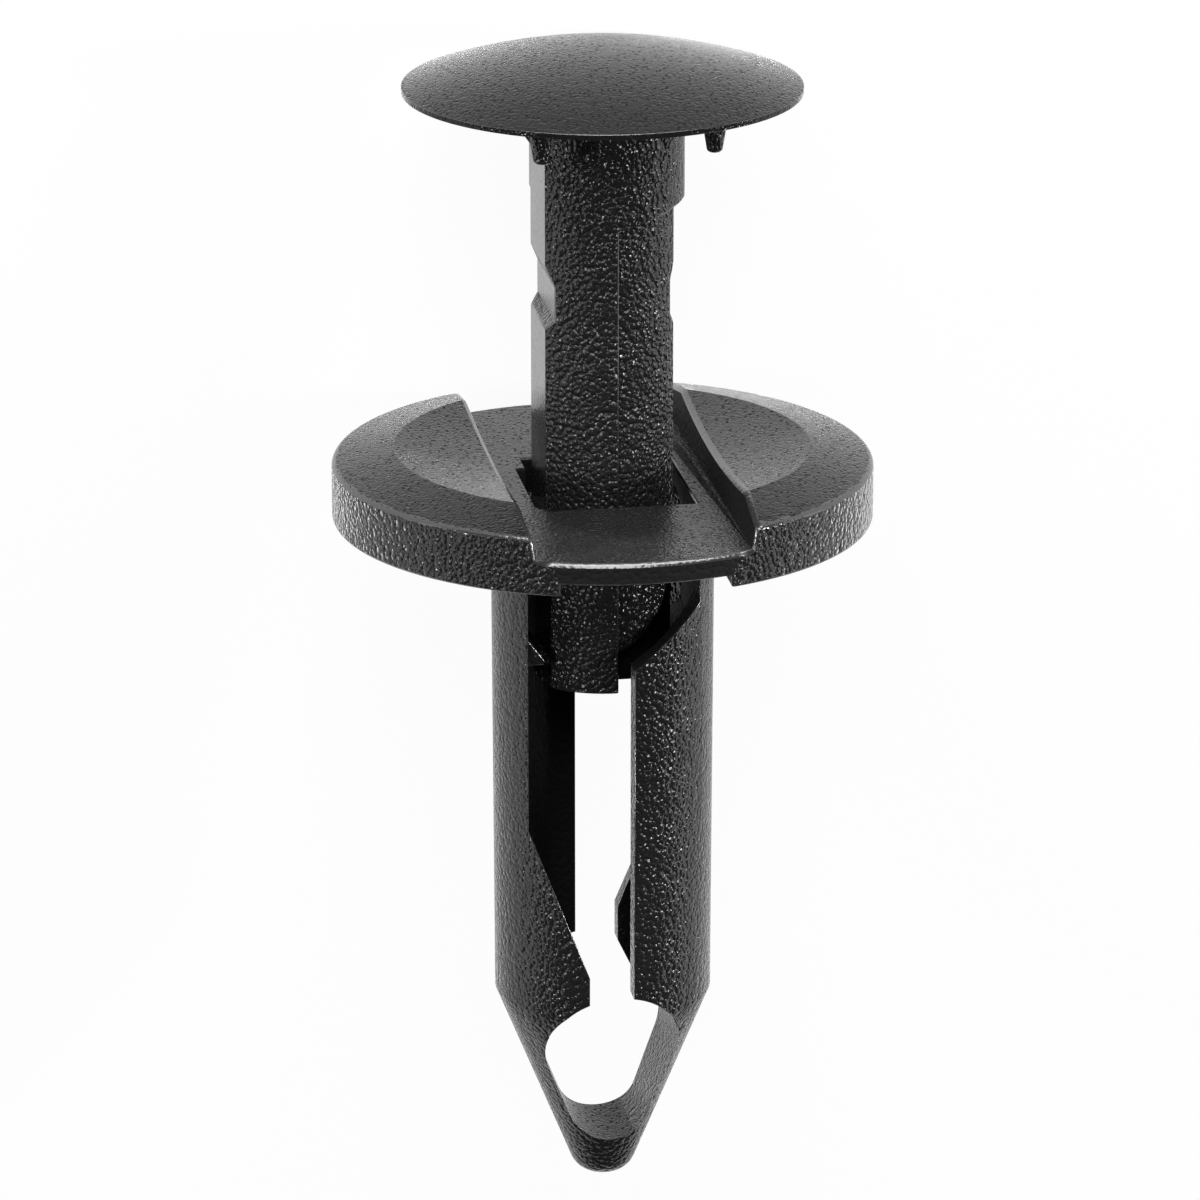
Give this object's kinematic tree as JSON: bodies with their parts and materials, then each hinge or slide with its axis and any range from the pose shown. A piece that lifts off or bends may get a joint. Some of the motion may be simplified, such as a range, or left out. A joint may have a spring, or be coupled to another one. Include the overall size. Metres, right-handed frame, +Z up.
{
  "type": "plastic push rivet",
  "caption": "Push-in panel retainer: a round flange with a split, slotted shank ending in a V-shaped tip, and a domed pin that slides through it to lock its legs apart.",
  "frame": {"origin": "centre of the bottom of the bounding box, on the surface that the rivet lies on", "axes": "+Z up from the surface; +X along the rivet as it lies, from its tip to its head, with the rivet's own axis sloping down to the head; +Y across the legs"},
  "size_m": [0.0436, 0.02, 0.0197],
  "materials": {
    "body_plastic": "black moulded plastic with a fine matte grain",
    "pin_plastic": "black moulded plastic with a fine matte grain"
  },
  "bodies": {
    "body": {"retainer_body": "body_plastic"},
    "pin": {"push_pin": "pin_plastic"}
  },
  "joints": [
    {"name": "pin_slide", "type": "slide", "parent": "body", "child": "pin", "axis": [0.9841, 0, -0.1774], "range_m": [-0.01313, 0]}
  ]
}
